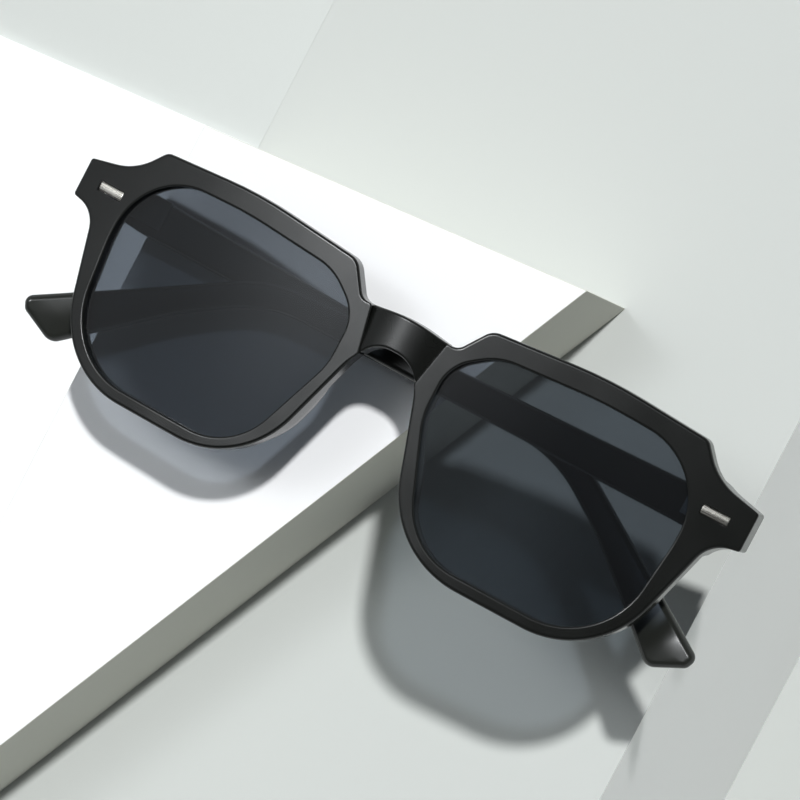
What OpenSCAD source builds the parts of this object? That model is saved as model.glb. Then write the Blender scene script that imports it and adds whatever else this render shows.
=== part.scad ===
// Square sunglasses, lying on their folded temples with the lenses up.
// Left and right are as seen from in front, with the brow up: +X is right,
// +Y is towards the brow and +Z is out of the lenses.

/* [Front] */
// Length of an endpiece, from the lens opening to its end
end_l = 11.2; // [10.2:0.1:13]
// Radius of the front's curve round the face
face_r = 390; // [300:10:600]
// Thickness of the rims
rim_t = 4; // [3.8:0.1:4.6]
// Height of an endpiece at its outer end
end_h = 7.7; // [7.2:0.1:8.6]
// Thickness of an endpiece, front to back
end_t = 7; // [6.6:0.1:7.8]
// Width of the rim along the brow
brow_w = 4.3; // [3.6:0.1:5.4]
// Width of the rim at the cheek
cheek_w = 2.6; // [2.2:0.1:3.6]
// Height of the rivet line above the middle of the lenses
hinge_up = 11.9; // [11:0.1:13]

/* [Lenses] */
// Width of a lens opening
lens_w = 51.3; // [46:0.1:56]
// Height of a lens opening
lens_h = 40.5; // [37:0.1:44]
// Thickness of a lens
lens_t = 2; // [1.8:0.1:2.4]
// Distance between the two lens openings
bridge_w = 21; // [19:0.5:24]
// Depth of the groove that holds a lens
groove_d = 0.7; // [0.4:0.1:0.9]
// Depth of the lens behind the rim's front face
lens_in = 1.1; // [0.8:0.1:1.2]

/* [Bridge] */
// Rise of the bridge's top edge above the rivet line
bridge_up = 5.9; // [5:0.1:7]
// Height of the bridge, top edge to the crown of the nose arch
bridge_h = 7.1; // [6:0.1:8.5]
// Thickness of the bridge
bridge_t = 4.6; // [4:0.1:5.4]
// Radius of the bridge's rounded front
bridge_r = 16; // [13:0.5:24]
// Depth of a nose pad behind its rim
pad_d = 4.5; // [3.5:0.1:5.5]

/* [Temples] */
// Length of a temple along its straight part, hinge to bend
temple_bend = 98.5; // [95:0.5:104]
// Reach of the tail beyond the bend
temple_tail = 40; // [36:0.5:44]
// Drop of the tail's tip below the bend
tail_drop = 30.8; // [27:0.1:34]
// Thickness of a temple
temple_t = 3.2; // [3:0.1:3.6]
// Height of a temple behind the hinge
temple_h = 7.8; // [7:0.1:8.4]
// Angle by which the lower temple stays short of fully folded
lean_left = 2.5; // [2:0.1:4]
// Angle by which the upper temple folds past parallel
lean_right = 1.3; // [1:0.1:1.5]

/* [Hinges] */
// Outer radius of a hinge knuckle
knuckle_r = 1.6; // [1.4:0.05:1.7]
// Radius of the hinge screw's shank
screw_r = 0.7; // [0.6:0.05:0.8]
// Height of all three knuckles together
knuckle_h = 6; // [5.4:0.1:6.6]
// Thickness of a hinge leaf
leaf_t = 1; // [0.8:0.1:1.1]

/* [Rivet plates] */
// Length of a rivet plate
plate_l = 5.5; // [4.6:0.1:6]
// Height of a rivet plate
plate_h = 1.95; // [1.6:0.05:2.4]

/* [Hidden] */

// Places on the front's right half, measured from its middle and from the rivet line
x_nasal = bridge_w / 2;
x_temporal = x_nasal + lens_w;
x_end = x_temporal + end_l;
y_top = lens_h / 2 - hinge_up + 0.05;
y_bottom = y_top - lens_h;
y_brow = y_top + brow_w;
y_cheek = y_bottom - cheek_w;
y_arch = bridge_up - bridge_h;
y_crease = y_top - 3.65;
crease_w = 2.4;
arch_in = 6.1;
bridge_top_r = 30;
flare_w = 3.5;
shoulder_w = 5.9;
shoulder_h = 2.05;
cheek_r = lens_h * 0.48;

// Running clearances
fit = 0.05;
gap = 0.15;

// The hinge axis stands off the back of the endpiece, and the temple off the axis
axis_back = knuckle_r + gap;
arm_off = knuckle_r + 0.4;
end_step = 0.2;
hinge_x = x_end - end_step - arm_off - temple_t;
end_sag = face_r - sqrt(pow(face_r, 2) - pow(hinge_x, 2));
end_back = end_sag + end_t;
axis_depth = end_back + axis_back;

// The endpiece's block, from just outside the lens groove
block_x = x_temporal + groove_d + 0.2;
block_up = 2;
block_down = 3.4;

// Hinge leaves: two knuckles on the front leaf, one between them on the temple leaf
knuckle = knuckle_h / 3;
leaf_past = 2.2;
leaf_from = block_x + 0.6;
temple_leaf_len = 7.9;
temple_leaf_in = 1.9;
web_w = 1.5;
screw_head_r = 1.15;
screw_head_h = 0.7;
slot_w = 0.32;
slot_d = 0.3;

// Rivet plates and their pins
plate_x = (x_temporal + x_end) / 2 - 1.3;
plate_in = 0.35;
plate_t = 0.9;
plate_pin_r = 0.6;
plate_pin_x = plate_l * 0.24;

// The tang that holds a temple's leaf: a neck and a wide foot
neck_x = 5.2;
neck_l = 2;
neck_w = 2.4;
neck_d = 0.7;
foot_l = 3.6;
foot_t = 0.6;

// A temple's side: its lower edge, its bend and the start of its inward curve
temple_low = 5.05;
bend_y = -0.7;
butt = axis_back - gap;
tail_x = temple_bend + temple_tail;
curve_from = temple_bend - 13;
curve_r = 280;
bend_r = 25;
tail_r = 60;
edge_r = 10;
tip_r = 1.7;

// Nose pads, carried back from the nasal part of the rims
crest_y = y_arch - 0.469 * lens_h;
crest_half = 8;
pad_w = 2.2;

// Height of the front's crown when the lower temple's back face touches the ground
crown_z = axis_depth + arm_off + temple_t
    + curve_from * sin(lean_left) + curve_r * (1 - cos(lean_left));
axis_z = crown_z - axis_depth;
// Middle of the footprint in Y
mid_y = (y_brow + y_cheek) / 2;
// Longer than any reach of a cutting block
deep = 2 * lens_h;

// Corner points [x, y, radius] of the right half of the front's outline
outer_half = [
    [x_nasal - crease_w, y_crease, 0],
    [x_nasal - 0.2, y_crease, 2.6],
    [x_nasal + 4.1, y_brow - 1.9, 3.6],
    [x_nasal + lens_w * 0.536, y_brow + 0.3, 90],
    [x_temporal - 2.9, y_brow - 1.1, 2.2],
    [x_temporal + 1.8, end_h / 2 + shoulder_h, 12],
    [x_end, end_h / 2, 0.6],
    [x_end, -end_h / 2, 0.6],
    [x_temporal + shoulder_w, -end_h / 2 - shoulder_h / 2, 6],
    [x_temporal - 2.5, y_cheek, cheek_r],
    [x_nasal + 5.8, y_cheek, cheek_r + 0.5],
    [x_nasal - flare_w, y_top - lens_h * 0.37, 8],
    [x_nasal - arch_in, y_arch, 6]
];
mirrored_half = [for (i = [len(outer_half) - 1:-1:0])
    [-outer_half[i][0], outer_half[i][1], outer_half[i][2]]];
outer = concat([[0, bridge_up, bridge_top_r]], outer_half, mirrored_half);

// A corner of the right lens opening: shares of its width and height, and a radius as a
// share of its height
function at(across, down, r) = [x_nasal + across * lens_w, y_top - down * lens_h, r * lens_h];
opening = [
    at(0, 0.173, 0.198),
    at(0.148, 0.037, 0.296),
    at(0.546, -0.0025, 1.98),
    at(1, 0.017, 0.346),
    at(1, 0.407, 0.8),
    at(0.949, 1, 0.395),
    at(0.179, 1, 0.346),
    at(0, 0.432, 0.346)
];

// Corner points of a temple seen from its side, with the hinge axis at x = 0
temple_side = [
    [-butt, end_h / 2 - 0.1, 0.5],
    [temple_h * 0.9, temple_h - temple_low, edge_r],
    [temple_bend + 1.8, bend_y, bend_r],
    [tail_x + 2.4, bend_y - tail_drop * 0.805, tip_r],
    [tail_x + 1.3, bend_y - tail_drop * 0.885, tip_r],
    [tail_x - temple_tail * 0.145, bend_y - tail_drop, tip_r + 1],
    [temple_bend + temple_tail * 0.36, bend_y - tail_drop * 0.451, tail_r],
    [temple_bend, -temple_low - 0.3, bend_r + 1],
    [temple_h * 0.9, -temple_low, edge_r],
    [-butt, -end_h / 2 - 0.3, 0.5]
];

// The outline's turning sense: 1 when its points run anticlockwise
function turning(c) = sign(vec_sum([for (i = [0:len(c) - 1])
    let (j = (i + 1) % len(c)) c[i][0] * c[j][1] - c[j][0] * c[i][1]]));
function vec_sum(v, i = 0) = i < len(v) ? v[i] + vec_sum(v, i + 1) : 0;
function heading(a, b) = let (d = [b[0] - a[0], b[1] - a[1]]) d / norm(d);
function cross2(a, b) = a[0] * b[1] - a[1] * b[0];
function near(c, i) = [c[(i + len(c) - 1) % len(c)], c[i], c[(i + 1) % len(c)]];

// A corner moved outwards by grow, with its radius changed to match
function moved(c, i, grow, s) = let (
    p = near(c, i),
    d1 = heading(p[0], p[1]),
    d2 = heading(p[1], p[2]),
    n1 = [d1[1], -d1[0]] * s,
    n2 = [d2[1], -d2[0]] * s,
    q = [p[1][0], p[1][1]] + grow * (n1 + n2) / (1 + n1 * n2),
    turn = cross2(d1, d2) * s > 0 ? 1 : -1
) [q[0], q[1], p[1][2] > 0 ? max(0, p[1][2] + turn * grow) : 0];

// Points of the arc that rounds one corner
function arc_points(c, i) = let (
    p = near(c, i),
    q = [p[1][0], p[1][1]],
    r = p[1][2],
    d1 = heading(p[0], p[1]),
    d2 = heading(p[1], p[2]),
    side = cross2(d1, d2) > 0 ? 1 : -1,
    turn = atan2(abs(cross2(d1, d2)), d1 * d2),
    start = q - d1 * r * tan(turn / 2),
    centre = start + [-d1[1], d1[0]] * side * r,
    from = atan2(start[1] - centre[1], start[0] - centre[0]),
    steps = max(2, ceil(turn / 6))
) r < 0.01 || turn < 0.5 ? [q]
    : [for (k = [0:steps]) let (a = from + side * turn * k / steps) centre + r * [cos(a), sin(a)]];

// An outline with its corners rounded, grown outwards by grow
function rounded(c, grow = 0) = let (
    s = turning(c),
    m = [for (i = [0:len(c) - 1]) moved(c, i, grow, s)]
) [for (i = [0:len(c) - 1]) each arc_points(m, i)];

// A block of an outline, from far below the part to far above it
module prism(points) {
    translate([0, 0, -deep]) linear_extrude(2 * deep + crown_z) polygon(points);
}

// A shell round the face's curve, between two depths behind the crown
module shell(near_depth, far_depth) {
    translate([0, 0, crown_z - face_r]) rotate([90, 0, 0]) difference() {
        cylinder(r = face_r - near_depth, h = 2 * deep, center = true, $fn = 720);
        cylinder(r = face_r - far_depth, h = 2 * deep + 1, center = true, $fn = 720);
    }
}

// A round bar along Y at a place across the front and a depth behind the crown
module bar_y(x, depth, r, h, y = 0) {
    translate([x, y, crown_z - depth]) rotate([90, 0, 0]) cylinder(r = r, h = h, center = true, $fn = 96);
}

// Both halves of a thing that is modelled on the right
module both() {
    children();
    mirror([1, 0, 0]) children();
}

// Everything on the front is drawn from the rivet line and moved to the middle of the footprint
module placed() {
    translate([0, -mid_y, 0]) children();
}

// The part of the front between the two creases
module bridge_zone(grow = 0) {
    top_x = x_nasal - crease_w + grow;
    low_x = top_x - 2.1;
    low_y = y_arch - 3.6;
    prism([[-top_x, y_brow], [-top_x, y_crease], [-low_x, low_y], [-low_x, y_cheek],
        [low_x, y_cheek], [low_x, low_y], [top_x, y_crease], [top_x, y_brow]]);
}

// The bridge has a rounded front, a little proud of the rims
module bridge() {
    proud = 0.9;
    overlap = 0.6;
    intersection() {
        prism(rounded(outer));
        bridge_zone(overlap);
        bar_y(0, bridge_r - proud, bridge_r, deep, y_arch);
        translate([-deep, -deep, crown_z - bridge_t]) cube([2 * deep, 2 * deep, deep]);
    }
}

// A nose pad is the nasal part of a rim carried back to a round crest
module nose_pad() {
    crest_r = (pow(crest_half, 2) + pow(pad_d, 2)) / (2 * pad_d);
    reach = crest_half + 1;
    overlap = 0.5;
    intersection() {
        difference() {
            prism(rounded(outer));
            prism(rounded(opening, pad_w / 5));
        }
        translate([0, crest_y, crown_z - rim_t - pad_d + crest_r])
            rotate([0, 90, 0]) cylinder(r = crest_r, h = x_nasal + 5, $fn = 96);
        shell(rim_t - overlap, rim_t + 2 * pad_d);
        translate([0, crest_y - reach, 0]) cube([x_nasal + 1 + pad_w, 2 * reach, crown_z]);
    }
}

// The thick end of the front that carries the hinge, flat at the back where a temple butts
module endpiece() {
    intersection() {
        prism(rounded(outer));
        shell(rim_t - 0.5, face_r / 2);
        translate([block_x, -end_h / 2 - block_down, crown_z - end_back])
            cube([x_end - block_x + 1, end_h + block_down + block_up, end_back]);
    }
}

// The front leaf's plate, flush with the back of the endpiece
module front_leaf_plate(grow = 0) {
    translate([leaf_from - grow, -knuckle_h / 2 - grow, crown_z - end_back])
        cube([hinge_x + leaf_past - leaf_from + 2 * grow, knuckle_h + 2 * grow, leaf_t + grow]);
}

// A rivet plate's two pins, from the back of the endpiece to the front
module plate_pins(r) {
    for (side = [-1, 1]) translate([plate_x + side * plate_pin_x, 0, crown_z - end_back])
        cylinder(r = r, h = end_back, $fn = 48);
}

module plate_recess() {
    intersection() {
        translate([plate_x - plate_l / 2 - fit, -plate_h / 2 - fit, 0])
            cube([plate_l + 2 * fit, plate_h + 2 * fit, crown_z]);
        shell(-1, plate_in + plate_t);
    }
}

module front_frame() {
    color([0.06, 0.06, 0.06]) placed() difference() {
        union() {
            difference() {
                intersection() {
                    prism(rounded(outer));
                    shell(0, rim_t);
                }
                bridge_zone();
            }
            bridge();
            both() nose_pad();
            both() endpiece();
        }
        both() {
            prism(rounded(opening));
            intersection() {
                prism(rounded(opening, groove_d + fit));
                shell(lens_in - fit, lens_in + lens_t + fit);
            }
            front_leaf_plate(fit);
            plate_recess();
            plate_pins(plate_pin_r + fit);
        }
    }
}

// A lens fills its groove all round
module lens() {
    intersection() {
        prism(rounded(opening, groove_d));
        shell(lens_in, lens_in + lens_t);
    }
}

module lens_left() {
    color([0.2, 0.22, 0.26, 0.6]) placed() mirror([1, 0, 0]) lens();
}

module lens_right() {
    color([0.2, 0.22, 0.26, 0.6]) placed() lens();
}

// A bright bar set in the endpiece, with two pins that hold the front leaf behind it
module rivet_plate() {
    intersection() {
        translate([plate_x - plate_l / 2, -plate_h / 2, 0]) cube([plate_l, plate_h, crown_z]);
        shell(plate_in, plate_in + plate_t);
    }
    intersection() {
        plate_pins(plate_pin_r);
        shell(plate_in + plate_t / 2, face_r / 2);
    }
}

module rivet_plate_left() {
    color([0.8, 0.77, 0.72]) placed() mirror([1, 0, 0]) rivet_plate();
}

module rivet_plate_right() {
    color([0.8, 0.77, 0.72]) placed() rivet_plate();
}

// The front leaf has the top and bottom knuckles, each on a web from the plate
module front_leaf() {
    len = knuckle - gap / 2;
    mid = knuckle + gap / 4;
    difference() {
        union() {
            front_leaf_plate();
            for (side = [-1, 1]) {
                bar_y(hinge_x, axis_depth, knuckle_r, len, side * mid);
                translate([hinge_x - web_w / 2, side * mid - len / 2, crown_z - axis_depth])
                    cube([web_w, len, axis_back + leaf_t / 2]);
            }
        }
        bar_y(hinge_x, axis_depth, screw_r + fit / 2, 2 * knuckle_h);
        bar_y(hinge_x, axis_depth, screw_head_r + fit / 2, 2 * screw_head_h, knuckle_h / 2);
        translate([0, 0, -leaf_t]) plate_pins(plate_pin_r + fit / 2);
    }
}

module front_leaf_left() {
    color([0.55, 0.55, 0.54]) placed() mirror([1, 0, 0]) front_leaf();
}

module front_leaf_right() {
    color([0.55, 0.55, 0.54]) placed() front_leaf();
}

// A slotted screw, its head let into the top knuckle
module hinge_screw() {
    head_y = (knuckle_h - screw_head_h) / 2 + fit / 2;
    difference() {
        union() {
            bar_y(hinge_x, axis_depth, screw_r, knuckle_h - screw_head_h);
            bar_y(hinge_x, axis_depth, screw_head_r, screw_head_h - fit, head_y);
        }
        translate([hinge_x - slot_w / 2, knuckle_h / 2 - slot_d, crown_z - axis_depth - knuckle_r])
            cube([slot_w, 1, 2 * knuckle_r]);
    }
}

module hinge_screw_left() {
    color([0.6, 0.6, 0.6]) placed() mirror([1, 0, 0]) hinge_screw();
}

module hinge_screw_right() {
    color([0.6, 0.6, 0.6]) placed() hinge_screw();
}

// A temple lies along +X from its hinge axis at the origin, with its outer face towards -Z.
// This is the space between two depths behind the axis, curved in towards the tail.
module arm_shell(from, to) {
    reach = temple_bend + 2 * temple_tail;
    translate([-10, -deep, -to]) cube([10 + curve_from, 2 * deep, to - from]);
    translate([curve_from, 0, curve_r]) rotate([90, 0, 0]) intersection() {
        difference() {
            cylinder(r = curve_r + to, h = 2 * deep, center = true, $fn = 720);
            cylinder(r = curve_r + from, h = 2 * deep + 1, center = true, $fn = 720);
        }
        translate([0, -curve_r - deep, -deep]) cube([reach, curve_r, 2 * deep]);
    }
}

module temple_leaf_plate(grow = 0) {
    open = grow > 0 ? 1 : 0;
    translate([temple_leaf_in - grow, -knuckle_h / 2 - grow, -arm_off - leaf_t - grow])
        cube([temple_leaf_len + 2 * grow, knuckle_h + 2 * grow, leaf_t + grow + open]);
}

// A tang with a wide foot, moulded into the temple to hold its leaf
module temple_tang(grow = 0) {
    neck_z = -arm_off - leaf_t - neck_d;
    foot_x = neck_x + (neck_l - foot_l) / 2;
    translate([neck_x - grow, -neck_w / 2 - grow, neck_z - grow])
        cube([neck_l + 2 * grow, neck_w + 2 * grow, neck_d + leaf_t / 2]);
    translate([foot_x - grow, -foot_l / 2 - grow, neck_z - foot_t - grow])
        cube([foot_l + 2 * grow, foot_l + 2 * grow, foot_t + 2 * grow]);
}

// The temple has a shallow notch at its end, round the middle knuckle
module temple() {
    notch_d = 0.6;
    difference() {
        intersection() {
            translate([0, 0, -deep]) linear_extrude(2 * deep) polygon(rounded(temple_side));
            arm_shell(arm_off, arm_off + temple_t);
        }
        temple_leaf_plate(fit);
        temple_tang(fit);
        translate([-butt - 1, -knuckle_h / 2 - gap, -arm_off - notch_d])
            cube([butt + 1 + temple_leaf_in + fit, knuckle_h + 2 * gap, 2 * notch_d]);
    }
}

// The temple leaf has the middle knuckle
module temple_leaf() {
    len = knuckle - gap;
    difference() {
        union() {
            temple_leaf_plate();
            temple_tang();
            rotate([90, 0, 0]) cylinder(r = knuckle_r, h = len, center = true, $fn = 96);
            translate([0, -len / 2, -arm_off - leaf_t / 2]) cube([temple_leaf_in + 1, len, web_w]);
        }
        rotate([90, 0, 0]) cylinder(r = screw_r + fit, h = knuckle_h, center = true, $fn = 96);
    }
}

// The left temple is the lower one, the right one lies above it
module left_arm() {
    placed() translate([-hinge_x, 0, axis_z]) rotate([0, lean_left, 0]) children();
}

module right_arm() {
    placed() translate([hinge_x, 0, axis_z]) rotate([0, lean_right, 0]) mirror([1, 0, 0]) children();
}

module temple_left() {
    color([0.06, 0.06, 0.06]) left_arm() temple();
}

module temple_right() {
    color([0.06, 0.06, 0.06]) right_arm() temple();
}

module temple_leaf_left() {
    color([0.55, 0.55, 0.54]) left_arm() temple_leaf();
}

module temple_leaf_right() {
    color([0.55, 0.55, 0.54]) right_arm() temple_leaf();
}

front_frame();
lens_left();
lens_right();
rivet_plate_left();
rivet_plate_right();
front_leaf_left();
front_leaf_right();
hinge_screw_left();
hinge_screw_right();
temple_left();
temple_right();
temple_leaf_left();
temple_leaf_right();
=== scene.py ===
import math

import bmesh
import bpy
from mathutils import Matrix, Vector
from mathutils.geometry import delaunay_2d_cdt


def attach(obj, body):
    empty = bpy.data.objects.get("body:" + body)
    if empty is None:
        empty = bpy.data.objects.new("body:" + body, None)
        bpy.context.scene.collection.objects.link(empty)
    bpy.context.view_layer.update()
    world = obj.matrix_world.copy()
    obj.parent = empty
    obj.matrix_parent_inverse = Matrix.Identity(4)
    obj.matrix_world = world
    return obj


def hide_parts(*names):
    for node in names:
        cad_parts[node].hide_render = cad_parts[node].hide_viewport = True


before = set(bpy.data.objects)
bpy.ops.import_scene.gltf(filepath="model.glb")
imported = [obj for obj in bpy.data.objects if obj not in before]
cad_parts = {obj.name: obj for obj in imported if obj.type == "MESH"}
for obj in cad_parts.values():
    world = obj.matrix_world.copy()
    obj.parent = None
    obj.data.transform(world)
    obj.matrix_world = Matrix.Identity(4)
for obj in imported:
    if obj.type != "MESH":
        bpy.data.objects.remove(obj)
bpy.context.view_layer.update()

# Sizes of the sunglasses in millimetres, as in the part's source. The end of a name says what it is:
# L a length, W a width, H a height, T a thickness, R a radius, D a depth, and IN how far in a piece
# is set. Places on the front are measured from its middle, from the rivet line and from the crown of
# its curve. Places on a temple are measured from its hinge, with x towards the tail.
MM = 0.001
FACE_R = 390
RIM_T = 4
END_L, END_H, END_T = 11.2, 7.7, 7
BROW_W, CHEEK_W = 4.3, 2.6
LENS_W, LENS_H, LENS_T = 51.3, 40.5, 2
LENS_IN, GROOVE_D = 1.1, 0.7
BRIDGE_W, BRIDGE_UP, BRIDGE_H, BRIDGE_T, BRIDGE_R = 21, 5.9, 7.1, 4.6, 16
# The bridge stands proud of the rims by a hair less than in the source, to stay inside the CAD's box.
BRIDGE_PROUD = 0.898
PAD_D = 4.5
TEMPLE_BEND, TEMPLE_TAIL, TAIL_DROP = 98.5, 40, 30.8
TEMPLE_T, TEMPLE_H, TEMPLE_LOW = 3.2, 7.8, 5.05
LEAN_LEFT, LEAN_RIGHT = math.radians(2.5), math.radians(1.3)
KNUCKLE_R, KNUCKLE_H, LEAF_T = 1.6, 6, 1
PLATE_L, PLATE_H, PLATE_IN, PLATE_T = 5.5, 1.95, 0.35, 0.9

# The sides of a lens opening, the end of the front, its top and bottom, the crown of the nose arch
# and the upper end of the crease between bridge and rim.
X_NASAL = BRIDGE_W / 2
X_TEMPORAL = X_NASAL + LENS_W
X_END = X_TEMPORAL + END_L
Y_TOP = 8.4
Y_BOTTOM = Y_TOP - LENS_H
Y_BROW = Y_TOP + BROW_W
Y_CHEEK = Y_BOTTOM - CHEEK_W
Y_ARCH = BRIDGE_UP - BRIDGE_H
Y_CREASE = Y_TOP - 3.65
CREASE_W = 2.4
MID_Y = (Y_BROW + Y_CHEEK) / 2

# The gap between pieces that turn, how far an open temple stays inside the front's end, and how far
# the thick block behind an endpiece stays off the lens groove.
GAP, END_STEP, BLOCK_OFF = 0.15, 0.2, 0.2

# How far a temple stands off its hinge's axis, where that axis is, where the block starts, and where
# and how tightly a temple curves inwards.
ARM_OFF = KNUCKLE_R + 0.4
HINGE_X = X_END - END_STEP - ARM_OFF - TEMPLE_T
BLOCK_X = X_TEMPORAL + GROOVE_D + BLOCK_OFF
CURVE_FROM, CURVE_R = TEMPLE_BEND - 13, 280


def sag(x, r=FACE_R):
    """How far a curve of radius r has fallen away at x."""
    return r - math.sqrt(r * r - x * x)


# How deep the back of an endpiece and a hinge's axis lie below the crown, and how high the crown is
# above the table. The table touches the left temple where that is lowest, on its curve.
END_BACK = sag(HINGE_X) + END_T
AXIS_DEPTH = END_BACK + KNUCKLE_R + GAP
CROWN_Z = (AXIS_DEPTH + ARM_OFF + TEMPLE_T + CURVE_FROM * math.sin(LEAN_LEFT)
           + CURVE_R * (1 - math.cos(LEAN_LEFT)))

# Each corner of an outline is its x, its y and the radius that rounds it. The corners of a lens
# opening are shares of its width and height, and their radii are shares of its height.
OUTER_HALF = [
    (X_NASAL - CREASE_W, Y_CREASE, 0),
    (X_NASAL - 0.2, Y_CREASE, 2.6),
    (X_NASAL + 4.1, Y_BROW - 1.9, 3.6),
    (X_NASAL + LENS_W * 0.536, Y_BROW + 0.3, 90),
    (X_TEMPORAL - 2.9, Y_BROW - 1.1, 2.2),
    (X_TEMPORAL + 1.8, END_H / 2 + 2.05, 12),
    (X_END, END_H / 2, 0.6),
    (X_END, -END_H / 2, 0.6),
    (X_TEMPORAL + 5.9, -END_H / 2 - 1.02, 6),
    (X_TEMPORAL - 2.5, Y_CHEEK, 19.5),
    (X_NASAL + 5.8, Y_CHEEK, 20),
    (X_NASAL - 3.5, Y_TOP - LENS_H * 0.37, 8),
    (X_NASAL - 6.1, Y_ARCH, 6),
]
OUTER = ([(0, BRIDGE_UP, 30)] + OUTER_HALF
         + [(-x, y, r) for x, y, r in reversed(OUTER_HALF)])
OPENING = [(X_NASAL + u * LENS_W, Y_TOP - v * LENS_H, r * LENS_H) for u, v, r in (
    (0, 0.173, 0.198), (0.148, 0.037, 0.296), (0.546, -0.0025, 1.98), (1, 0.017, 0.346),
    (1, 0.407, 0.8), (0.949, 1, 0.395), (0.179, 1, 0.346), (0, 0.432, 0.346))]

# A temple from the side: along the top from the hinge to the tip, and back underneath.
TAIL_X = TEMPLE_BEND + TEMPLE_TAIL
BEND_Y = -0.7
TEMPLE_SIDE = [
    (-KNUCKLE_R, END_H / 2 - 0.1, 0.6),
    (TEMPLE_H * 0.9, TEMPLE_H - TEMPLE_LOW, 10),
    (TEMPLE_BEND + 1.8, BEND_Y, 25),
    (TAIL_X + 2.4, BEND_Y - TAIL_DROP * 0.805, 1.7),
    (TAIL_X + 1.3, BEND_Y - TAIL_DROP * 0.885, 1.7),
    (TAIL_X - TEMPLE_TAIL * 0.145, BEND_Y - TAIL_DROP, 2.7),
    (TEMPLE_BEND + TEMPLE_TAIL * 0.36, BEND_Y - TAIL_DROP * 0.451, 60),
    (TEMPLE_BEND, -TEMPLE_LOW - 0.3, 26),
    (TEMPLE_H * 0.9, -TEMPLE_LOW, 10),
    (-KNUCKLE_R, -END_H / 2 - 0.3, 0.6),
]


# Outlines

def rounded(corners, step=3.0, chord=0.25):
    """The points of an anticlockwise outline with its corners rounded. A step along an arc turns by up
    to step degrees, or by more on a small arc, where it is up to chord long."""
    points = []
    n = len(corners)
    pts = [Vector(c[:2]) for c in corners]
    for i, (x, y, r) in enumerate(corners):
        here = pts[i]
        d1 = (here - pts[i - 1]).normalized()
        d2 = (pts[(i + 1) % n] - here).normalized()
        cross = d1.x * d2.y - d1.y * d2.x
        turn = math.atan2(abs(cross), d1.dot(d2))
        if r < 0.01 or turn < 0.01:
            points.append(here.copy())
            continue
        side = 1 if cross > 0 else -1
        start = here - d1 * r * math.tan(turn / 2)
        centre = start + Vector((-d1.y, d1.x)) * side * r
        first = math.atan2(start.y - centre.y, start.x - centre.x)
        steps = max(3, math.ceil(turn / max(math.radians(step), chord / r)))
        for k in range(steps + 1):
            a = first + side * turn * k / steps
            points.append(centre + r * Vector((math.cos(a), math.sin(a))))
    area = sum(points[i - 1].x * p.y - p.x * points[i - 1].y for i, p in enumerate(points))
    return points if area > 0 else points[::-1]


def dense(loop, gap):
    """The same outline with no two points further apart than gap."""
    out = []
    for i, b in enumerate(loop):
        a = loop[i - 1]
        n = max(1, math.ceil((b - a).length / gap))
        out.extend(a.lerp(b, (k + 1) / n) for k in range(n))
    return out


def moved(loop, d):
    """The outline moved to its left, which is inwards where it runs anticlockwise. The amount d is
    a number, or a list with one for each point."""
    out = []
    n = len(loop)
    amounts = d if isinstance(d, list) else [d] * n
    for i in range(n):
        t1 = (loop[i] - loop[i - 1]).normalized()
        t2 = (loop[(i + 1) % n] - loop[i]).normalized()
        n1, n2 = Vector((-t1.y, t1.x)), Vector((-t2.y, t2.x))
        out.append(loop[i] + amounts[i] * (n1 + n2) / max(0.5, 1 + n1.dot(n2)))
    return out


def clipped(loop, point, normal):
    """The part of an outline on the side of a line that normal points to."""
    out = []
    for i, b in enumerate(loop):
        a = loop[i - 1]
        da, db = (a - point).dot(normal), (b - point).dot(normal)
        if da * db < 0:
            out.append(a.lerp(b, da / (da - db)))
        if db >= 0:
            out.append(b.copy())
    return out


def softened(loop, r, least=math.radians(20)):
    """The outline with an arc of radius r in place of each corner that turns by more than least."""
    n = len(loop)
    turns = []
    for i in range(n):
        turns.append((loop[i] - loop[i - 1]).angle(loop[(i + 1) % n] - loop[i], 0))
    sharp = [(loop[i], r * math.tan(turns[i] / 2)) for i in range(n) if turns[i] > least]
    corners = []
    for i, p in enumerate(loop):
        if turns[i] > least:
            corners.append((p.x, p.y, r))
        elif all((p - q).length > reach * 1.05 for q, reach in sharp):
            corners.append((p.x, p.y, 0))
    return rounded(corners)


def inside(p, loop):
    """Whether a point lies inside an outline."""
    hit = False
    for i, b in enumerate(loop):
        a = loop[i - 1]
        if (a.y > p.y) != (b.y > p.y) and p.x < (b.x - a.x) * (p.y - a.y) / (b.y - a.y) + a.x:
            hit = not hit
    return hit


# The radius in place of sharp corners where rims and bridge part, the longest step of the front's
# outlines, and the distance below which two points of a mesh become one.
SOFT_R = 0.7
FRONT_STEP = 0.8
WELD = 0.002


# Meshes

def front_place(x, y, z):
    """A point of the front in metres. It is given in millimetres, from the front's middle, from the
    rivet line and from the crown."""
    return Vector((x * MM, (y - MID_Y) * MM, (CROWN_Z + z) * MM))


def arm_matrix(side):
    """Where a folded temple lies. The right one is the mirror image of the left one."""
    lean = LEAN_LEFT if side < 0 else LEAN_RIGHT
    place = Matrix.Translation((side * HINGE_X * MM, -MID_Y * MM, (CROWN_Z - AXIS_DEPTH) * MM))
    turn = Matrix.Rotation(lean, 4, "Y")
    flip = Matrix.Diagonal((-1 if side > 0 else 1, 1, 1, 1))
    return place @ turn @ flip


def finish_mesh(name, bm, place, material):
    """Make an object of the shape bm, whose points are given as place takes them."""
    bmesh.ops.remove_doubles(bm, verts=bm.verts, dist=WELD)
    bm.normal_update()
    for v in bm.verts:
        v.co = place(*v.co)
    bmesh.ops.recalc_face_normals(bm, faces=bm.faces)
    mesh = bpy.data.meshes.new(name)
    for f in bm.faces:
        f.smooth = True
    bm.to_mesh(mesh)
    bm.free()
    mesh.materials.append(material)
    obj = bpy.data.objects.new(name, mesh)
    bpy.context.scene.collection.objects.link(obj)
    return obj


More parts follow.
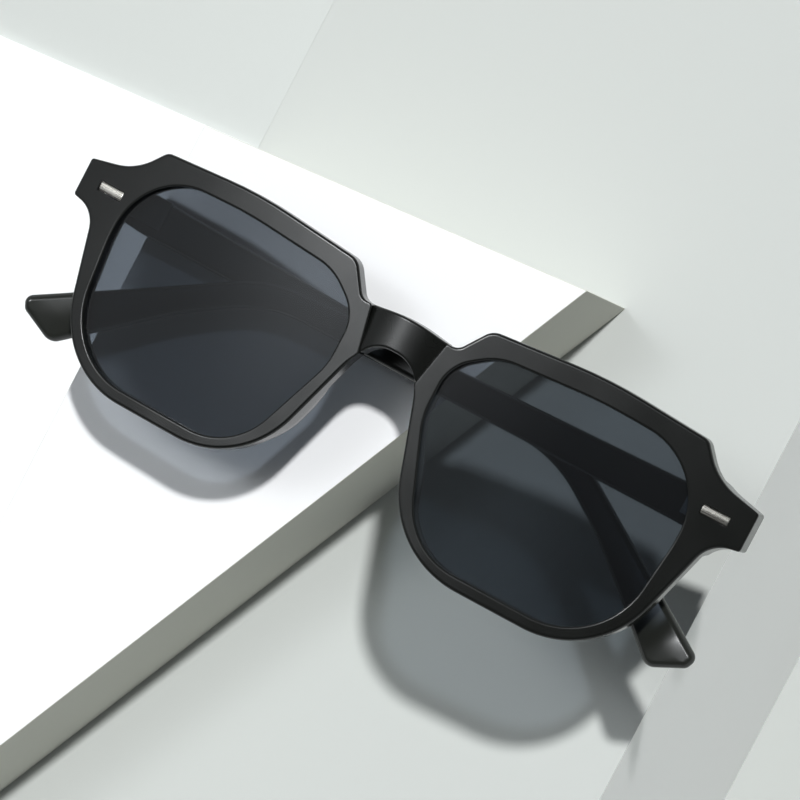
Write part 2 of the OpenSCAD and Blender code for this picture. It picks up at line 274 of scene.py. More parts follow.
def cut(obj, bm, place):
    """Take the closed shape bm, whose points are given as place takes them, out of a piece."""
    for v in bm.verts:
        v.co = place(*v.co)
    bmesh.ops.recalc_face_normals(bm, faces=bm.faces)
    mesh = bpy.data.meshes.new("cutter")
    bm.to_mesh(mesh)
    bm.free()
    cutter = bpy.data.objects.new("cutter", mesh)
    bpy.context.scene.collection.objects.link(cutter)
    obj.modifiers.clear()
    taken = obj.modifiers.new("cut", "BOOLEAN")
    taken.operation, taken.object, taken.solver = "DIFFERENCE", cutter, "EXACT"
    bpy.context.view_layer.update()
    evaluated = obj.evaluated_get(bpy.context.evaluated_depsgraph_get())
    shaped = bpy.data.meshes.new_from_object(evaluated)
    obj.modifiers.clear()
    obj.data = shaped
    bpy.data.objects.remove(cutter)


def box_shape(low, high):
    """A box between two opposite corners."""
    bm = bmesh.new()
    bmesh.ops.create_cube(bm, size=1)
    for v in bm.verts:
        v.co = Vector([(a + b) / 2 + c * (b - a) for a, b, c in zip(low, high, v.co)])
    return bm


def prism_shape(loop, low, high):
    """An outline carried straight up from low to high."""
    bm = bmesh.new()
    below = [bm.verts.new((p.x, p.y, low)) for p in loop]
    above = [bm.verts.new((p.x, p.y, high)) for p in loop]
    bm.faces.new(below[::-1])
    bm.faces.new(above)
    for i in range(len(loop)):
        bm.faces.new((below[i - 1], below[i], above[i], above[i - 1]))
    return bm


def even_normals(obj, angle=38):
    """Keep the shading of flat faces flat between rounded edges."""
    obj.data.set_sharp_from_angle(angle=math.radians(angle))
    even = obj.modifiers.new("even_normals", "WEIGHTED_NORMAL")
    even.keep_sharp = True
    even.weight = 60


def cap(bm, loops, height, cell, extra=()):
    """Fill the space inside the first loop and outside the others with triangles of about the size
    cell. Extra lists more points for their corners."""
    points, edges = [], []
    for loop in loops:
        first = len(points)
        points.extend(loop)
        edges.extend((first + i, first + (i + 1) % len(loop)) for i in range(len(loop)))
    inner = [moved(loop, 0.45 * cell) for loop in loops]

    def within(p, rings):
        """Whether a point lies inside the first ring and outside the others."""
        return inside(p, rings[0]) and not any(inside(p, ring) for ring in rings[1:])

    # Points in staggered rows, a little inside the loops.
    low = Vector((min(p.x for p in loops[0]), min(p.y for p in loops[0])))
    high = Vector((max(p.x for p in loops[0]), max(p.y for p in loops[0])))
    candidates = list(extra)
    for j in range(int((high.y - low.y) / cell) + 1):
        for i in range(int((high.x - low.x) / cell) + 1):
            candidates.append(low + cell * Vector((i + 0.5 * (j % 2), j + 0.5)))
    points.extend(p for p in candidates if within(p, inner))
    # Four far corners keep the outline itself from being the edge of what is filled.
    far = (high - low).length
    points.extend(Vector((low.x + a * far, low.y + b * far)) for a in (-1, 2) for b in (-1, 2))
    verts, lines, faces, _, sources, _ = delaunay_2d_cdt(points, edges, [], 0, 0)

    # Triangles joined across an edge that isn't on a loop lie on one side of it together.
    walls = {frozenset(line) for line, source in zip(lines, sources) if source}
    across = {}
    for n, face in enumerate(faces):
        for k in range(3):
            line = frozenset((face[k - 1], face[k]))
            if line not in walls:
                across.setdefault(line, []).append(n)
    near = [[] for _ in faces]
    for pair in across.values():
        if len(pair) == 2:
            near[pair[0]].append(pair[1])
            near[pair[1]].append(pair[0])

    def size(face):
        """Twice the area of a triangle."""
        a, b, c = (verts[i] for i in face)
        return (b.x - a.x) * (c.y - a.y) - (b.y - a.y) * (c.x - a.x)

    kept = {}
    for n in sorted(range(len(faces)), key=lambda n: -size(faces[n])):
        if n in kept:
            continue
        middle = sum((verts[i] for i in faces[n]), Vector((0, 0))) / 3
        keep = within(middle, loops)
        stack = [n]
        while stack:
            one = stack.pop()
            if one not in kept:
                kept[one] = keep
                stack.extend(near[one])
    made = {}
    for n, face in enumerate(faces):
        if kept[n]:
            for i in face:
                if i not in made:
                    made[i] = bm.verts.new((*verts[i], height(*verts[i])))
            bm.faces.new([made[i] for i in face])


def plate(name, outer, holes, top, bottom, place, material, edge=0.6, back_edge=0.5, cell=2.0,
          extra=(), steps=6, hole_edge=None, shelf=0.12):
    """A plate with rounded edges between two surfaces. Outer runs anticlockwise, holes clockwise.
    The radius of its front edge, and of its back edge, is a number or depends on the place, and an
    edge is rounded in so many steps. Inside its edges each face starts with a narrow even ring, the
    shelf, which keeps it smooth."""
    bm = bmesh.new()
    # The layer is 1 on the edges and the walls, where the plastic has its own roughness.
    layer = bm.verts.layers.float.new("edge")
    caps = {top: [], bottom: []}
    for loop in [outer] + list(holes):
        rings = []
        front = edge if loop is outer or hole_edge is None else hole_edge
        for surface, radius, sign in ((bottom, back_edge, 1), (top, front, -1)):
            radii = [radius(p) if callable(radius) else radius for p in loop]
            levels = []
            for k in range(steps + 1):
                a = math.radians(90 * k / steps)
                levels.append((moved(loop, [r * (1 - math.cos(a)) for r in radii]),
                               [r * (1 - math.sin(a)) for r in radii]))
            levels.append((moved(loop, [r + shelf for r in radii]), [0] * len(loop)))
            caps[surface].append(levels[-1][0])
            for ring, drops in levels[::-1] if sign > 0 else levels:
                rings.append([bm.verts.new((p.x, p.y, surface(p.x, p.y) + sign * drop))
                              for p, drop in zip(ring, drops)])
        for ring in rings[2:-2]:
            for v in ring:
                v[layer] = 1.0
        for low, high in zip(rings, rings[1:]):
            for i in range(len(loop)):
                bm.faces.new((low[i - 1], low[i], high[i], high[i - 1]))
    for surface, loops in caps.items():
        cap(bm, loops, surface, cell, extra)
    return finish_mesh(name, bm, place, material)


def eased(value, low, high):
    """0 below low, 1 above high and a smooth rise between."""
    share = min(max((value - low) / (high - low), 0), 1)
    return share * share * (3 - 2 * share)


# Materials

# The colour of the light that one face of a lens lets through, the share of the light that it stops,
# and the near black of its own plastic.
LENS_TINT = (0.85, 0.92, 1.0)
LENS_FILLED = 0.645
LENS_BLACK = (0.006, 0.0065, 0.007)

# Plastic: how much paler its clouds are, how much rougher or smoother, how long its scratches are,
# the strength of the grain and of the scratches, and their depth in metres.
CLOUD_LIFT, CLOUD_ROUGH = 1.25, 0.03
SCRATCH_SQUEEZE = 0.12
GRAIN_SHARE, SCRATCH_SHARE = 6, 2
GRAIN_DEPTH = 0.00001

# Metal: how long its lines are, how dark, how smooth and how rough they are, and their depth and
# that of the waves in metres.
LINE_SQUEEZE = 0.06
LINE_DARK, LINE_SMOOTH, LINE_ROUGH = 0.8, 0.8, 1.3
LINE_DEPTH, WAVE_DEPTH = 0.00002, 0.0002


def new_material(name, **values):
    """A material, its node tree and its shader, with values for the shader's sockets."""
    mat = bpy.data.materials.new(name)
    mat.use_nodes = True
    shader = mat.node_tree.nodes["Principled BSDF"]
    for key, value in values.items():
        shader.inputs[key.replace("_", " ")].default_value = value
    return mat, mat.node_tree, shader


def add(tree, kind, **inputs):
    """A new node with values for its sockets."""
    node = tree.nodes.new(kind)
    for key, value in inputs.items():
        node.inputs[key.replace("_", " ")].default_value = value
    return node


def ramp(tree, source, low, high, at=(0.0, 1.0)):
    """Map a value to between low and high, which it reaches at the two values of at."""
    node = tree.nodes.new("ShaderNodeMapRange")
    node.inputs["From Min"].default_value, node.inputs["From Max"].default_value = at
    node.inputs["To Min"].default_value, node.inputs["To Max"].default_value = low, high
    tree.links.new(source, node.inputs["Value"])
    return node.outputs["Result"]


def satin_plastic(name, rough, edge_rough, colour, grain):
    """Cut and tumbled black plastic: a fine grain, long faint scratches, a little cloudiness and
    edges with their own roughness."""
    mat, tree, shader = new_material(name, IOR=1.49)
    link = tree.links.new
    coords = tree.nodes.new("ShaderNodeTexCoord").outputs["Object"]
    cloud = add(tree, "ShaderNodeTexNoise", Scale=90.0, Detail=3.0)
    fine = add(tree, "ShaderNodeTexNoise", Scale=5200.0, Detail=2.0)
    scratch = add(tree, "ShaderNodeTexNoise", Scale=900.0, Detail=4.0, Distortion=0.4)
    stretch = tree.nodes.new("ShaderNodeMapping")
    stretch.inputs["Scale"].default_value = (SCRATCH_SQUEEZE, 1.0, 1.0)
    link(coords, stretch.inputs["Vector"])
    link(coords, cloud.inputs["Vector"])
    link(coords, fine.inputs["Vector"])
    link(stretch.outputs["Vector"], scratch.inputs["Vector"])
    tint = tree.nodes.new("ShaderNodeMix")
    tint.data_type = "RGBA"
    tint.inputs["A"].default_value = (*colour, 1)
    tint.inputs["B"].default_value = (*(c * CLOUD_LIFT for c in colour), 1)
    link(cloud.outputs["Fac"], tint.inputs["Factor"])
    link(tint.outputs["Result"], shader.inputs["Base Color"])
    edge = tree.nodes.new("ShaderNodeAttribute")
    edge.attribute_name = "edge"
    base = ramp(tree, cloud.outputs["Fac"], rough - CLOUD_ROUGH, rough + CLOUD_ROUGH, (0.3, 0.7))
    mix = tree.nodes.new("ShaderNodeMix")
    mix.inputs["B"].default_value = edge_rough
    link(edge.outputs["Fac"], mix.inputs["Factor"])
    link(base, mix.inputs["A"])
    link(mix.outputs["Result"], shader.inputs["Roughness"])
    bump_fine = add(tree, "ShaderNodeBump", Strength=grain * GRAIN_SHARE, Distance=GRAIN_DEPTH)
    bump_long = add(tree, "ShaderNodeBump", Strength=grain * SCRATCH_SHARE, Distance=GRAIN_DEPTH)
    link(fine.outputs["Fac"], bump_fine.inputs["Height"])
    link(scratch.outputs["Fac"], bump_long.inputs["Height"])
    link(bump_fine.outputs["Normal"], bump_long.inputs["Normal"])
    link(bump_long.outputs["Normal"], shader.inputs["Normal"])
    return mat


def smoke_lens():
    """Blue-grey lens: light passes it straight and tinted, and its polished skin mirrors a little."""
    mat, tree, shader = new_material("smoke_lens", IOR=1.5)
    link = tree.links.new
    shader.inputs["Base Color"].default_value = (*LENS_BLACK, 1)
    coords = tree.nodes.new("ShaderNodeTexCoord").outputs["Object"]
    wave = add(tree, "ShaderNodeTexNoise", Scale=40.0, Detail=1.0)
    link(coords, wave.inputs["Vector"])
    bump = add(tree, "ShaderNodeBump", Strength=0.03, Distance=0.0001)
    link(wave.outputs["Fac"], bump.inputs["Height"])
    link(bump.outputs["Normal"], shader.inputs["Normal"])
    link(ramp(tree, wave.outputs["Fac"], 0.03, 0.08), shader.inputs["Roughness"])
    through = add(tree, "ShaderNodeBsdfTransparent", Color=(*LENS_TINT, 1))
    mix = add(tree, "ShaderNodeMixShader", Fac=LENS_FILLED)
    link(through.outputs["BSDF"], mix.inputs[1])
    link(shader.outputs["BSDF"], mix.inputs[2])
    link(mix.outputs["Shader"], tree.nodes["Material Output"].inputs["Surface"])
    return mat


def metal(name, colour, rough, waves=0.0, across=(1, 0, 0)):
    """Brushed metal: fine lines and broad shallow waves, both at right angles to the axis across."""
    mat, tree, shader = new_material(name, Metallic=1.0)
    link = tree.links.new
    coords = tree.nodes.new("ShaderNodeTexCoord").outputs["Object"]
    stretch = tree.nodes.new("ShaderNodeMapping")
    stretch.inputs["Scale"].default_value = tuple(1.0 if a else LINE_SQUEEZE for a in across)
    link(coords, stretch.inputs["Vector"])
    lines = add(tree, "ShaderNodeTexNoise", Scale=3500.0, Detail=5.0)
    link(stretch.outputs["Vector"], lines.inputs["Vector"])
    broad = add(tree, "ShaderNodeTexNoise", Scale=1100.0, Detail=2.0)
    link(stretch.outputs["Vector"], broad.inputs["Vector"])
    tint = tree.nodes.new("ShaderNodeMix")
    tint.data_type = "RGBA"
    tint.inputs["A"].default_value = (*(c * LINE_DARK for c in colour), 1)
    tint.inputs["B"].default_value = (*colour, 1)
    link(lines.outputs["Fac"], tint.inputs["Factor"])
    link(tint.outputs["Result"], shader.inputs["Base Color"])
    roughness = ramp(tree, lines.outputs["Fac"], rough * LINE_SMOOTH, rough * LINE_ROUGH, (0.3, 0.7))
    link(roughness, shader.inputs["Roughness"])
    fine = add(tree, "ShaderNodeBump", Strength=0.25, Distance=LINE_DEPTH)
    link(lines.outputs["Fac"], fine.inputs["Height"])
    wavy = add(tree, "ShaderNodeBump", Strength=waves, Distance=WAVE_DEPTH)
    link(broad.outputs["Fac"], wavy.inputs["Height"])
    link(fine.outputs["Normal"], wavy.inputs["Normal"])
    link(wavy.outputs["Normal"], shader.inputs["Normal"])
    return mat


# The temples' plastic is the front's black painted paler: a painted sheen that stands in for the light
# on the lit tips.
BLACK = (0.0035, 0.0039, 0.0033)
TEMPLE_BLACK_PAINTED_SHEEN = (0.014, 0.0152, 0.0132)
rim_plastic = satin_plastic("rim_plastic", 0.2, 0.2, BLACK, grain=0.004)
bridge_plastic = satin_plastic("bridge_plastic", 0.27, 0.22, BLACK, grain=0.006)
# The temples get the paler black, with its painted sheen.
temple_plastic = satin_plastic("temple_plastic", 0.22, 0.2, TEMPLE_BLACK_PAINTED_SHEEN, grain=0.003)
lens_tint = smoke_lens()
bar_metal = metal("bar_metal", (0.80, 0.77, 0.70), 0.26, waves=0.02, across=(0, 1, 0))
hinge_metal = metal("hinge_metal", (0.5, 0.5, 0.49), 0.36, waves=0.1, across=(0, 1, 0))
screw_metal = metal("screw_metal", (0.62, 0.61, 0.59), 0.28)


# The front

outer_loop = dense(rounded(OUTER), FRONT_STEP)
opening_loop = dense(rounded(OPENING), FRONT_STEP)

# The bridge meets each rim along a crease. This slants: its lower end lies CREASE_RUN nearer to the
# middle and CREASE_BELOW below the arch.
CREASE_RUN, CREASE_BELOW = 2.1, 3.6
crease_top = Vector((X_NASAL - CREASE_W, Y_CREASE))
crease_low = Vector((X_NASAL - CREASE_W - CREASE_RUN, Y_ARCH - CREASE_BELOW))
crease_along = (crease_top - crease_low).normalized()
crease_out = Vector((crease_along.y, -crease_along.x))


def mirrored(loop):
    """A loop's mirror image, still turning the same way."""
    return [Vector((-p.x, p.y)) for p in reversed(loop)]


def rim_top(x, y):
    """The face of a rim."""
    return -sag(x)


# The thick block behind each endpiece: its lower and upper end, and the width of the step round it.
BLOCK_LOW, BLOCK_HIGH = -END_H / 2 - 3.4, END_H / 2 + 2
BLOCK_STEP = 0.5


def rim_back(x, y):
    """The back of a rim, which steps down to the flat back of the endpiece."""
    depth = FACE_R - math.sqrt((FACE_R - RIM_T) ** 2 - x * x)
    share = 1
    for past in (abs(x) - BLOCK_X, y - BLOCK_LOW, BLOCK_HIGH - y):
        share *= min(max((past + BLOCK_STEP) / BLOCK_STEP, 0), 1)
    return -depth + eased(share, 0, 1) * (depth - END_BACK)


def ride_front(obj, *nodes):
    """Let a piece stand for CAD nodes of the front."""
    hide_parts(*nodes)
    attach(obj, "front")


# Each endpiece carries a small metal bar, a little nearer to the lens than the endpiece's middle. It
# sits in a recess that is a little larger. Its face rises to a low crown along its length.
BAR_NEARER = 1.3
BAR_X = (X_TEMPORAL + X_END) / 2 - BAR_NEARER
BAR_FIT = 0.04
BAR_FLOOR = sag(BAR_X) + PLATE_IN + PLATE_T
BAR_CORNER_R = 0.22
CROWN_RISE, CROWN_BEND = 0.05, 0.16


def bar_top(x, y):
    """A bar's face."""
    return -PLATE_IN - sag(x) + CROWN_RISE - CROWN_BEND * y * y


def bar_bottom(x, y):
    """A bar's back."""
    return -PLATE_IN - PLATE_T - sag(x)


def bar_outline(side, grow=0.0):
    """The outline of a bar, or of its recess, which is wider by grow all round."""
    w, h = PLATE_L / 2 + grow, PLATE_H / 2 + grow
    signs = ((1, 1), (-1, 1), (-1, -1), (1, -1))
    corners = [(side * BAR_X + a * w, b * h, BAR_CORNER_R) for a, b in signs]
    return dense(rounded(corners, step=15, chord=0.06), 0.3)


rim_outline = dense(softened(clipped(outer_loop, crease_top, crease_out), SOFT_R), FRONT_STEP)

# The radius of a rim's front edge where it is tight, what it gains elsewhere, and over which
# distances from the crease and from the end of the endpiece it changes.
RIM_EDGE, RIM_EDGE_MORE = 0.3, 0.25
NEAR_CREASE, OFF_CREASE = 0.3, 2.5
NEAR_END, OFF_END = 1, 4


def rim_edge(p):
    """Soft shoulders round a rim, tighter along the crease and at the end of the endpiece."""
    off_crease = (Vector((abs(p.x), p.y)) - crease_top).dot(crease_out)
    soft = eased(off_crease, NEAR_CREASE, OFF_CREASE)
    soft *= 1 - eased(abs(p.x), X_END - OFF_END, X_END - NEAR_END)
    return RIM_EDGE + RIM_EDGE_MORE * soft


# Rows of points up the inner side of the step behind each endpiece, and along its two ends. With
# them the mesh follows the step closely.
POINTS_FROM_Y, POINTS_UP, POINTS_ALONG = -24, 64, 24
step_left = BLOCK_X - BLOCK_STEP
step_rows = (0, BLOCK_STEP / 2, BLOCK_STEP)
step_points = []
for i in range(POINTS_UP):
    y = POINTS_FROM_Y + BLOCK_STEP * i
    step_points.extend(Vector((step_left + dx, y)) for dx in step_rows)
for i in range(POINTS_ALONG):
    x = step_left + BLOCK_STEP * i
    for y in (BLOCK_LOW - BLOCK_STEP, BLOCK_HIGH):
        step_points.extend(Vector((x, y + dy)) for dy in step_rows)

for side, word in ((1, "right"), (-1, "left")):
    outline = rim_outline if side > 0 else mirrored(rim_outline)
    hole = opening_loop if side > 0 else mirrored(opening_loop)
    points = [Vector((side * p.x, p.y)) for p in step_points]
    rim = plate("rim_" + word, outline, [hole[::-1]], rim_top, rim_back, front_place, rim_plastic,
                edge=rim_edge, back_edge=0.45, cell=1.6, extra=points, hole_edge=0.4)
    recess = prism_shape(bar_outline(side, BAR_FIT), -BAR_FLOOR, 2)
    cut(rim, recess, front_place)
    even_normals(rim)
    ride_front(rim, "front_frame")

# The bridge runs a little way into each rim.
BRIDGE_INTO = 0.5
BRIDGE_STEP = 0.6


def bridge_top(x, y):
    """The bridge's saddle."""
    return BRIDGE_PROUD - sag(x, BRIDGE_R)


def bridge_bottom(x, y):
    """The bridge's back."""
    return -BRIDGE_T


bridge_end = crease_top + BRIDGE_INTO * crease_out
other_end = Vector((-bridge_end.x, bridge_end.y))
bridge_outline = clipped(outer_loop, bridge_end, -crease_out)
bridge_outline = clipped(bridge_outline, other_end, Vector((crease_out.x, -crease_out.y)))
bridge = plate("bridge", dense(softened(bridge_outline, SOFT_R), BRIDGE_STEP), [],
               bridge_top, bridge_bottom, front_place, bridge_plastic,
               edge=0.5, back_edge=0.5, cell=0.9)
even_normals(bridge)
ride_front(bridge, "front_frame")


# A nose pad: half its length, how far it lies below the arch, how deep it is rooted in the rim, its
# gaps to the rim's nasal edge and to the lens, and the powers that square off its section.
PAD_HALF, PAD_BELOW, PAD_ROOT = 8.0, 19, 1.2
PAD_OFF_NASAL, PAD_OFF_LENS = 0.03, 0.45
PAD_FLAT, PAD_ROUND = 0.55, 0.6
PAD_STATIONS, PAD_AROUND = 28, 20


def nasal_x(loop, y):
    """Where a loop's nasal side crosses the height y."""
    found = []
    for i, b in enumerate(loop):
        a = loop[i - 1]
        if (a.y > y) != (b.y > y):
            found.append(a.x + (b.x - a.x) * (y - a.y) / (b.y - a.y))
    return min(x for x in found if x > 0)


def nose_pad(name, side):
    """A ridge behind the nasal part of a rim, with a round crest."""
    bm = bmesh.new()
    bm.verts.layers.float.new("edge")
    crest_y = Y_ARCH - PAD_BELOW
    crest_r = (PAD_HALF ** 2 + PAD_D ** 2) / (2 * PAD_D)
    root = -RIM_T + PAD_ROOT
    rings = []
    for j in range(PAD_STATIONS + 1):
        y = crest_y + PAD_HALF * math.sin(math.pi * (j / PAD_STATIONS - 0.5))
        nasal = nasal_x(outer_loop, y) + PAD_OFF_NASAL
        lens = nasal_x(opening_loop, y) - PAD_OFF_LENS
        depth = RIM_T + PAD_D - crest_r + math.sqrt(max(crest_r ** 2 - (y - crest_y) ** 2, 0))
        ring = []
        for k in range(PAD_AROUND + 1):
            a = math.pi * k / PAD_AROUND
            c, s = math.cos(a), math.sin(a)
            across = math.copysign(abs(c) ** PAD_FLAT, c)
            x = (nasal + lens) / 2 + across * (lens - nasal) / 2
            ring.append(bm.verts.new((side * x, y, root - (depth + root) * s ** PAD_ROUND)))
        rings.append(ring)
    for a, b in zip(rings, rings[1:]):
        for k in range(PAD_AROUND):
            bm.faces.new((a[k], a[k + 1], b[k + 1], b[k]))
        bm.faces.new((a[PAD_AROUND], a[0], b[0], b[PAD_AROUND]))
    bm.faces.new(rings[0])
    bm.faces.new(rings[-1][::-1])
    return finish_mesh(name, bm, front_place, rim_plastic)


def pane_top(x, y):
    """A lens's front."""
    return -LENS_IN - sag(x)


def pane_bottom(x, y):
    """A lens's back."""
    return -LENS_IN - LENS_T - sag(x)


for side, word in ((1, "right"), (-1, "left")):
    pad = nose_pad("nose_pad_" + word, side)
    even_normals(pad)
    ride_front(pad, "front_frame")
    lens_loop = moved(opening_loop, -GROOVE_D)
    pane = plate("lens_pane_" + word, lens_loop if side > 0 else mirrored(lens_loop), [],
                 pane_top, pane_bottom, front_place, lens_tint,
                 edge=0.15, back_edge=0.15, cell=2.5, steps=2)
    even_normals(pane)
    ride_front(pane, "lens_" + word)
    bar = plate("rivet_bar_" + word, bar_outline(side), [],
                bar_top, bar_bottom, front_place, bar_metal,
                edge=0.14, back_edge=0.05, cell=0.3, steps=3, shelf=0.04)
    even_normals(bar)
    ride_front(bar, "rivet_plate_" + word)


# The temples

def inward(x, r):
    """How far a temple has curved towards the front at x."""
    past = max(x - CURVE_FROM, 0)
    return r - math.sqrt(r * r - past * past)


# The radius of a temple's edges at the hinge, what it gains further on, and where it changes.
ARM_EDGE, ARM_EDGE_MORE = 0.45, 0.75
ARM_EDGE_FROM, ARM_EDGE_TO = 2, 14


def arm_edge(p):
    """A temple's edges are tight at the hinge and full along the rest."""
    return ARM_EDGE + ARM_EDGE_MORE * eased(p.x, ARM_EDGE_FROM, ARM_EDGE_TO)


# The tail swells to its middle line from an edge that is a little thinner.
DOME_RISE, DOME_REACH = 0.35, 5.0
DOME_FROM, DOME_FULL = TEMPLE_BEND + 2, TAIL_X - 12


def dome(x, y):
    """How far a tail's face lies below its middle line."""
    along = eased(x, DOME_FROM, DOME_FULL)
    if along == 0:
        return 0
    here = Vector((x, y))
    off = min((here - p).length for p in temple_loop)
    return DOME_RISE * along * max(1 - off / DOME_REACH, 0) ** 2


def arm_front(x, y):
    """The side of a folded temple that faces the front."""
    return -ARM_OFF + inward(x, CURVE_R + ARM_OFF) - dome(x, y)


def arm_back(x, y):
    """A temple's outer side."""
    return -ARM_OFF - TEMPLE_T + inward(x, CURVE_R + ARM_OFF + TEMPLE_T) + dome(x, y)


# The recess for a temple's hinge leaf and the space that its knuckles turn in.
LEAF_FROM, LEAF_TO, LEAF_FIT = 1.85, 9.85, 0.05
KNUCKLE_FROM, KNUCKLE_TO, KNUCKLE_DEEP = -4, 1.95, 0.6
TEMPLE_STEP = 1.2

temple_loop = dense(rounded(TEMPLE_SIDE), TEMPLE_STEP)
for side, word in ((1, "right"), (-1, "left")):
    matrix = arm_matrix(side)

    def arm_place(x, y, z):
        """A point of the temple in metres. It is given in millimetres, from its hinge."""
        return matrix @ (Vector((x, y, z)) * MM)

    arm = plate("temple_arm_" + word, temple_loop, [],
                arm_front, arm_back, arm_place, temple_plastic,
                edge=arm_edge, back_edge=arm_edge, cell=1.8)
    leaf_low = (LEAF_FROM, -KNUCKLE_H / 2 - LEAF_FIT, -ARM_OFF - LEAF_T - LEAF_FIT)
    leaf_high = (LEAF_TO, KNUCKLE_H / 2 + LEAF_FIT, 0)
    cut(arm, box_shape(leaf_low, leaf_high), arm_place)
    knuckle_low = (KNUCKLE_FROM, -KNUCKLE_H / 2 - GAP, -ARM_OFF - KNUCKLE_DEEP)
    knuckle_high = (KNUCKLE_TO, KNUCKLE_H / 2 + GAP, 0)
    cut(arm, box_shape(knuckle_low, knuckle_high), arm_place)
    even_normals(arm)
    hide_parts("temple_" + word)
    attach(arm, "temple_" + word)


# Hinges

def paint(node, material):
    """Give a CAD part its material."""
    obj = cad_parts[node]
    obj.data.materials.clear()
    obj.data.materials.append(material)


for word in ("left", "right"):
    paint("front_leaf_" + word, hinge_metal)
    paint("temple_leaf_" + word, hinge_metal)
    paint("hinge_screw_" + word, screw_metal)


# The stage

def stage_piece(name, bm, material, bevel=0.0002):
    """A piece of the stage, given in metres."""
    bmesh.ops.recalc_face_normals(bm, faces=bm.faces)
    mesh = bpy.data.meshes.new(name)
    bm.to_mesh(mesh)
    bm.free()
    mesh.materials.append(material)
    obj = bpy.data.objects.new(name, mesh)
    bpy.context.scene.collection.objects.link(obj)
    if bevel:
        soft = obj.modifiers.new("soft_edges", "BEVEL")
        soft.width, soft.segments = bevel, 3
    return obj


def matt(name, colour):
    """Matt card with a faint tooth."""
    mat, tree, shader = new_material(name, Roughness=0.8)
    shader.inputs["Base Color"].default_value = (*colour, 1)
    coords = tree.nodes.new("ShaderNodeTexCoord").outputs["Object"]
    noise = add(tree, "ShaderNodeTexNoise", Scale=400.0, Detail=3.0)
    tree.links.new(coords, noise.inputs["Vector"])
    bump = add(tree, "ShaderNodeBump", Strength=0.05, Distance=0.0002)
    tree.links.new(noise.outputs["Fac"], bump.inputs["Height"])
    tree.links.new(bump.outputs["Normal"], shader.inputs["Normal"])
    return mat


# The glasses lie across the slanting edge of a white block. Below it lies a grey one. Both are
# narrower than the hinges, so that open temples hang beside them, clear of a floor further down. A
# thin white slab on that floor carries the block's white on, as seen from the camera.
STAGE_HALF = 0.062
STEP_Z, FLOOR_Z = -0.034, -0.17
CORNER = Vector((0.021, 0.036))
EDGE_ALONG = Vector((-0.427, -0.904))
FAR_EDGE_FALL = 0.006
NEAR_Y, FAR_Y = -0.12, 0.11
SLAB_LOOP = ((-0.3, -0.3), (-0.07, -0.3), (-0.07, 0.0305), (-0.3, 0.0148))
SLAB_T, FLOOR_T, FLOOR_HALF = 0.002, 0.01, 3
white_card = matt("white_card", (0.86, 0.87, 0.88))
grey_card = matt("grey_card", (0.555, 0.58, 0.56))
near_corner = CORNER + EDGE_ALONG * (NEAR_Y - CORNER.y) / EDGE_ALONG.y
far_corner = Vector((-STAGE_HALF, CORNER.y - FAR_EDGE_FALL))
block_loop = [Vector((-STAGE_HALF, NEAR_Y)), near_corner, CORNER, far_corner]
white_block = stage_piece("white_block", prism_shape(block_loop, STEP_Z, 0), white_card)
grey_box = box_shape((-STAGE_HALF, NEAR_Y, FLOOR_Z), (STAGE_HALF, FAR_Y, STEP_Z))
grey_block = stage_piece("grey_block", grey_box, grey_card)
# The sides of each block are painted apart from its top. The white block's sides are darker, a painted
# shade. The grey block's sides are paler, painted light that evens them with the lit floor.
for block, sides in ((white_block, matt("painted_shade_card", (0.66, 0.66, 0.59))),
                     (grey_block, matt("painted_light_card", (0.96, 0.97, 0.96)))):
    block.data.materials.append(sides)
    for face in block.data.polygons:
        face.material_index = 0 if face.normal.z > 0.5 else 1
slab = prism_shape([Vector(p) for p in SLAB_LOOP], FLOOR_Z, FLOOR_Z + SLAB_T)
stage_piece("white_slab", slab, white_card)
floor = box_shape((-FLOOR_HALF, -FLOOR_HALF, FLOOR_Z - FLOOR_T), (FLOOR_HALF, FLOOR_HALF, FLOOR_Z))
stage_piece("floor", floor, grey_card, bevel=0)


# Light and camera

# Each lamp is a direction, an angle that softens it, a strength and what it leaves out. The key
# casts the shadows, and the sheen only glosses the left rim and the bridge.
LAMPS = {"key": ((0.165, 0.455, 0.875), 3, 3.1, "visible_glossy"),
         "sheen": ((-0.36, 0.14, 0.92), 6, 0.45, "visible_diffuse")}
for name, (toward, angle, strength, left_out) in LAMPS.items():
    data = bpy.data.lights.new(name, "SUN")
    data.energy, data.angle = strength, math.radians(angle)
    lamp = bpy.data.objects.new(name, data)
    lamp.rotation_euler = Vector(toward).to_track_quat("Z", "Y").to_euler()
    setattr(lamp, left_out, False)
    bpy.context.scene.collection.objects.link(lamp)

# The room: even light and soft glows. In order, they put the sheen on the left rim and the bridge,
# a paler one on the left endpiece, one on the right brow and one on the left-hand tip. The last is a
# broad fill low on the near right. Each is a direction, a power that tightens it and a strength.
ROOM_LIGHT = 0.05
ROOM_COLOUR = (0.93, 0.97, 1)
GLOWS = (((-0.375, 0.13, 0.92), 140, 13.2), ((-0.62, 0.02, 0.78), 30, 0.65),
         ((-0.19, 0.14, 0.97), 140, 5.2), ((0.06, 0.13, 0.99), 200, 2.2),
         ((0.85, -0.48, 0.22), 4, 0.18))
world = bpy.data.worlds.new("studio")
bpy.context.scene.world = world
world.use_nodes = True
sky = world.node_tree
background = sky.nodes["Background"]
background.inputs["Color"].default_value = (*ROOM_COLOUR, 1)
direction = sky.nodes.new("ShaderNodeTexCoord").outputs["Generated"]


def math_node(kind, first, second):
    """A calculation for the sky. Each of the two values is a number or another node's output."""
    node = sky.nodes.new("ShaderNodeMath")
    node.operation = kind
    for socket, value in zip(node.inputs, (first, second)):
        if isinstance(value, (int, float)):
            socket.default_value = value
        else:
            sky.links.new(value, socket)
    return node.outputs["Value"]


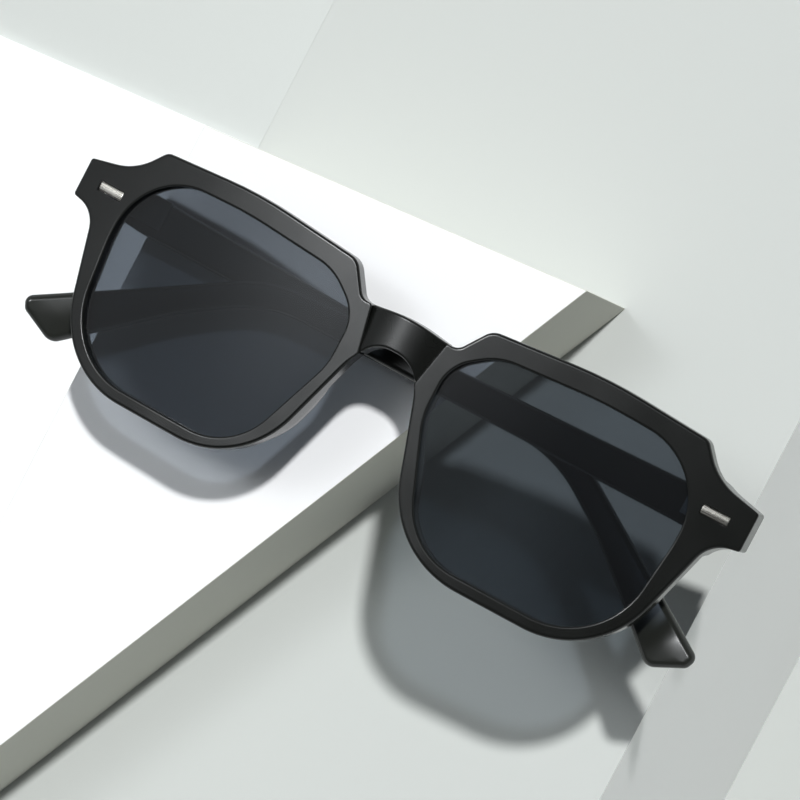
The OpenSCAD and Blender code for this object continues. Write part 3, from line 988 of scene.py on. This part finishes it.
total = ROOM_LIGHT
for toward, power, strength in GLOWS:
    dot = sky.nodes.new("ShaderNodeVectorMath")
    dot.operation = "DOT_PRODUCT"
    dot.inputs[1].default_value = Vector(toward).normalized()
    sky.links.new(direction, dot.inputs[0])
    glow = math_node("POWER", math_node("MAXIMUM", dot.outputs["Value"], 0), power)
    total = math_node("ADD", math_node("MULTIPLY", glow, strength), total)

# A pale backdrop near the horizon, for what looks at it or mirrors it: its strength, the height up to
# which it is full and the height at which it has faded away.
BACKDROP, BACKDROP_FULL, BACKDROP_TOP = 0.6, 0.25, 0.6
rays = sky.nodes.new("ShaderNodeLightPath").outputs
seen = math_node("MAXIMUM", rays["Is Camera Ray"],
                 math_node("MAXIMUM", rays["Is Glossy Ray"], rays["Is Transmission Ray"]))
height = sky.nodes.new("ShaderNodeSeparateXYZ")
sky.links.new(direction, height.inputs[0])
low = ramp(sky, height.outputs["Z"], 0, BACKDROP, (BACKDROP_TOP, BACKDROP_FULL))
total = math_node("ADD", math_node("MULTIPLY", low, seen), total)
sky.links.new(total, background.inputs["Strength"])

# The camera looks almost straight down on the front, turned clockwise. Its lens is the long one
# that fits the photograph's edges best. Its place is given from the crown of the front's curve.
CAMERA_RIGHT = Vector((0.84657, 0.46112, -0.26587))
CAMERA_UP = Vector((-0.45815, 0.88553, 0.07704))
CAMERA_BACK = Vector((0.27096, 0.05659, 0.96093))
CAMERA_PLACE = Vector((0.204336, 0.033159, 0.706307))
CAMERA_LENS, CAMERA_SENSOR = 180, 36
camera_data = bpy.data.cameras.new("camera")
camera_data.lens = CAMERA_LENS
camera_data.sensor_width = CAMERA_SENSOR
camera = bpy.data.objects.new("camera", camera_data)
turn = Matrix((CAMERA_RIGHT, CAMERA_UP, CAMERA_BACK)).transposed().to_4x4()
camera.matrix_world = Matrix.Translation(front_place(0, 0, 0) + CAMERA_PLACE) @ turn
bpy.context.scene.collection.objects.link(camera)
bpy.context.scene.camera = camera
bpy.context.scene.view_settings.view_transform = "Standard"
